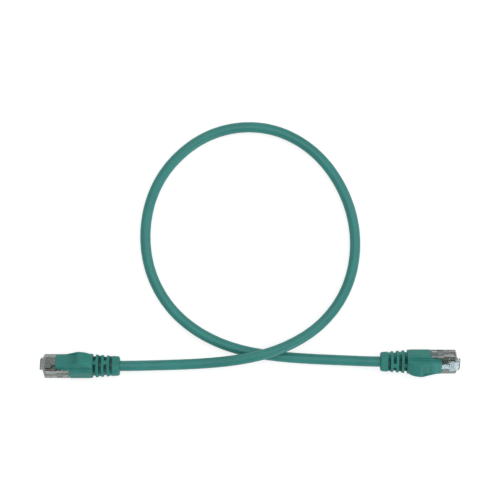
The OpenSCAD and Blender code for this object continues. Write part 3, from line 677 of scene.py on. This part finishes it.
def makeBoot(plug):
    # lofts of the sleeve and the hood joined into one, hollowed, slotted, and softened as a moulding is
    shape = bootShape
    front, fit = shape["hoodFronts"][plug], shape["fit"]
    base = solid("sleeve", roundedRings(*sleeveSections.T))
    combine(base, solid("hood", hoodLoft(front)), "UNION")
    combine(base, solid("skirt", skirtPrism(front)), "UNION")
    for slot in slotBoxes():
        combine(base, solid("slot", slot), "DIFFERENCE")
    coreX, coreWidth = sleeveSections[1:, 0], sleeveSections[1:, 1] - shape["slotDepth"]
    coreHigh = np.full_like(coreX, shape["coreHalf"])
    rings = roundedRings(coreX, coreWidth, -coreHigh, coreHigh, coreHigh / 2)
    combine(base, solid("core", rings), "UNION")
    combine(base, solid("scoop", scoopPrism()), "DIFFERENCE")
    combine(base, solid("lever_room", leverRoom(front)), "DIFFERENCE")
    neckY, neckZ = shape["neckHalf"][0] + fit, shape["neckHalf"][1] + fit
    neck = box((sleeveX - shape["overshoot"], -neckY, -neckZ), (shape["housingEnd"] + fit, neckY, neckZ))
    combine(base, solid("neck", neck), "DIFFERENCE")
    for room in jacketRooms():
        combine(base, solid("jacket_room", room), "DIFFERENCE")
    softenMoulding(base)

    mesh = base.data
    flat = np.empty(3 * len(mesh.vertices))
    mesh.vertices.foreach_get("co", flat)
    points = flat.reshape(-1, 3)
    # painted shade in the slots and the thumb scoop, kept on the points
    markPaintedShade(mesh, bootPaintedShade(points))
    mesh.vertices.foreach_set("co", placePlug(points, plug).ravel())
    mesh.polygons.foreach_set("use_smooth", np.ones(len(mesh.polygons), bool))
    mesh.materials.clear()
    mesh.materials.append(bootPvc)
    mesh.update()
    letter = "ab"[plug]
    base.name = mesh.name = f"moulded_boot_{letter}"
    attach(base, "cable")
    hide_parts(f"plug_{letter}_boot")
    print("boot", letter, len(mesh.polygons), "faces")


for plug in (0, 1):
    makeBoot(plug)

# The plugs' moulded pieces are copies of the part's own solids with their long edges rounded
moulding = dict(edge=0.14, segments=2, longEdge=0.9, sharp=30, weld=0.002, flat=1.0)  # millimetres, degrees


def makeMoulding(letter, piece, body, finish):
    # the solid's triangles merged into flat faces, then a narrow round along each long outward edge
    node = f"plug_{letter}_{piece}"
    mesh = bpy.data.objects[node].data.copy()
    work = bmesh.new()
    work.from_mesh(mesh)
    bmesh.ops.remove_doubles(work, verts=work.verts, dist=moulding["weld"] * mm)
    flat, sharp = np.radians([moulding["flat"], moulding["sharp"]])
    bmesh.ops.dissolve_limit(work, angle_limit=flat, verts=work.verts, edges=work.edges)
    corners = [edge for edge in work.edges if len(edge.link_faces) == 2 and edge.is_convex
               and edge.calc_length() > moulding["longEdge"] * mm
               and edge.calc_face_angle() > sharp]
    bmesh.ops.bevel(work, geom=corners, offset=moulding["edge"] * mm, segments=moulding["segments"],
                    profile=0.5, affect="EDGES", clamp_overlap=False)
    work.to_mesh(mesh)
    work.free()
    mesh.materials.clear()
    mesh.materials.append(finish)
    made = bpy.data.objects.new(f"moulded_{piece}_{letter}", mesh)
    scene.collection.objects.link(made)
    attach(made, body)
    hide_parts(node)
    print("moulding", made.name, len(mesh.polygons), "faces")


for letter in "ab":
    makeMoulding(letter, "housing", "cable", housingClear)
    makeMoulding(letter, "latch", f"latch_{letter}", latchClear)
    for piece, finish in [("load_bar", barClear), *((f"contact_{k}", goldPlate) for k in range(1, 9))]:
        for slot in bpy.data.objects[f"plug_{letter}_{piece}"].material_slots:
            slot.material = finish
print("plugs finished")

# Floor and light, in metres and watts
studio = dict(floorSize=8.0, floorGrey="#bcbcbc", floorGlow=0.68, world=0.46, target=(0, 0.06, 0))
lamps = [  # name, place, sides, power and colour
    ("overhead", (0.1, 0.4, 1.9), (1.6, 1.6), 11.0, "#ffffff"),
    ("back", (-0.66, 1.19, 0.73), (1.0, 0.8), 2.0, "#ffffff"),
    ("key", (1.7, 0.4, 1.2), (0.8, 0.8), 6.5, "#ffffff"),
    ("strip", (0.63, -0.86, 0.32), (0.5, 0.3), 3.2, "#dcf6ff"),
]


def makeFloor():
    # a pale floor that takes the object's soft shadow and looks white to the camera, in gloss and
    # through clear plastic
    half = studio["floorSize"] / 2
    mesh = bpy.data.meshes.new("floor")
    corners = [(-half, -half, 0), (half, -half, 0), (half, half, 0), (-half, half, 0)]
    mesh.from_pydata(corners, [], [(0, 1, 2, 3)])
    floor = bpy.data.objects.new("floor", mesh)
    scene.collection.objects.link(floor)
    made, tree = newMaterial("matt_white_floor")
    kinds = ("Is Camera Ray", "Is Glossy Ray", "Is Transmission Ray")
    cameraRay, glossRay, clearRay = (addNode(tree, "ShaderNodeLightPath", out=kind) for kind in kinds)
    either = addNode(tree, "ShaderNodeMath", {0: cameraRay, 1: glossRay}, operation="MAXIMUM")
    seen = addNode(tree, "ShaderNodeMath", {0: either, 1: clearRay}, operation="MAXIMUM")
    glow = addNode(tree, "ShaderNodeMath", {0: seen, 1: studio["floorGlow"]}, operation="MULTIPLY")
    shader = addNode(tree, "ShaderNodeBsdfPrincipled", {
        "Base Color": linearColour(studio["floorGrey"]), "Roughness": 0.9, "Specular IOR Level": 0.0,
        "Emission Color": (1, 1, 1, 1), "Emission Strength": glow})
    addNode(tree, "ShaderNodeOutputMaterial", {"Surface": shader})
    mesh.materials.append(made)


def makeLight():  # an even grey world and four lamps turned to the cable
    world = bpy.data.worlds.new("studio")
    world.use_nodes = True
    tree = world.node_tree
    tree.nodes.clear()
    glow = addNode(tree, "ShaderNodeBackground", {"Color": (1, 1, 1, 1), "Strength": studio["world"]})
    addNode(tree, "ShaderNodeOutputWorld", {"Surface": glow})
    scene.world = world
    for name, place, sides, power, colour in lamps:
        light = bpy.data.lights.new(name, "AREA")
        light.energy = power
        light.color = linearColour(colour)[:3]
        light.shape = "RECTANGLE"
        light.size, light.size_y = sides
        lamp = bpy.data.objects.new(name, light)
        lamp.location = place
        aim = Vector(studio["target"]) - Vector(place)
        lamp.rotation_euler = aim.to_track_quat("-Z", "Y").to_euler()
        scene.collection.objects.link(lamp)


makeFloor()
makeLight()
print("floor and light made")
